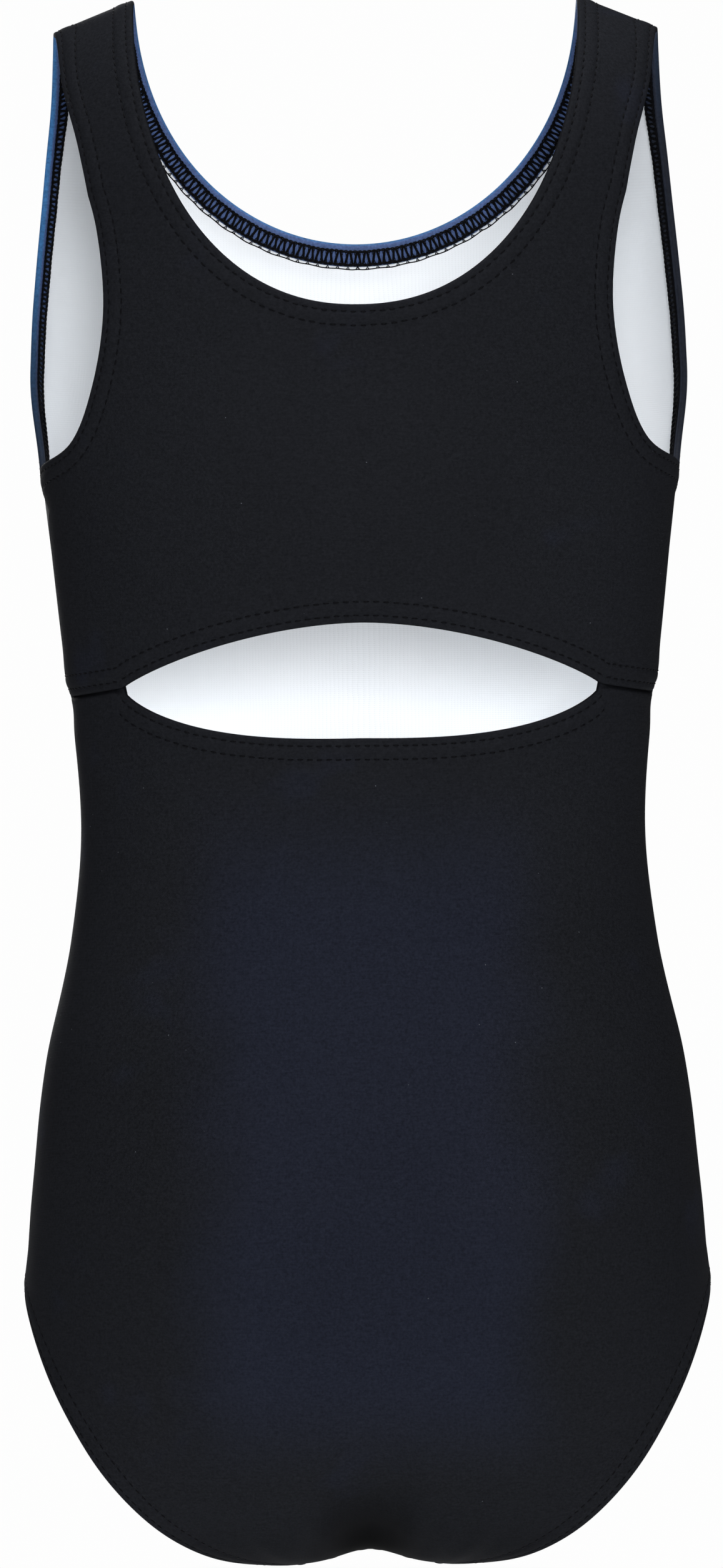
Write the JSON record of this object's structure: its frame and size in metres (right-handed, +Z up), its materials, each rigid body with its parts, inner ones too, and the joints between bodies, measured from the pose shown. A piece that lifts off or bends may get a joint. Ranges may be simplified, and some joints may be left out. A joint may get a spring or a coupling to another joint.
{
  "type": "gymnastics leotard",
  "caption": "Sleeveless girl's gymnastics leotard in worn shape, with a scooped back neck, a wide almond-shaped keyhole at the back waist and a white front lining.",
  "frame": {"origin": "on the shoulder line, midway between the tops of the two straps, where the wearer's shoulders or a hanger hold the garment", "axes": "+Z up along the body, -Y towards the wearer's front, +X towards the wearer's left"},
  "size_m": [0.2264, 0.1524, 0.5171],
  "materials": {
    "back_cloth": "smooth matte nylon and elastane knit, near black",
    "front_cloth": "smooth matte nylon and elastane knit, blue fading to near black",
    "lining": "fine soft mesh knit, cool white",
    "elastic": "flat matte elastic",
    "thread": "spun polyester thread, black"
  },
  "bodies": {
    "root": {"back_upper_panel": "back_cloth", "back_lower_panel": "back_cloth", "front_panel": "front_cloth", "front_lining": "lining", "gusset_lining": "lining", "neck_elastic": "elastic", "left_armhole_elastic": "elastic", "right_armhole_elastic": "elastic", "left_leg_elastic": "elastic", "right_leg_elastic": "elastic", "keyhole_upper_elastic": "elastic", "keyhole_lower_elastic": "elastic", "neck_coverstitch": "thread", "left_armhole_coverstitch": "thread", "right_armhole_coverstitch": "thread", "left_leg_coverstitch": "thread", "right_leg_coverstitch": "thread", "keyhole_upper_coverstitch": "thread", "keyhole_lower_coverstitch": "thread", "left_side_seam": "thread", "right_side_seam": "thread", "left_shoulder_seam": "thread", "right_shoulder_seam": "thread", "left_waist_seam": "thread", "right_waist_seam": "thread", "crotch_seam": "thread"}
  },
  "joints": []
}
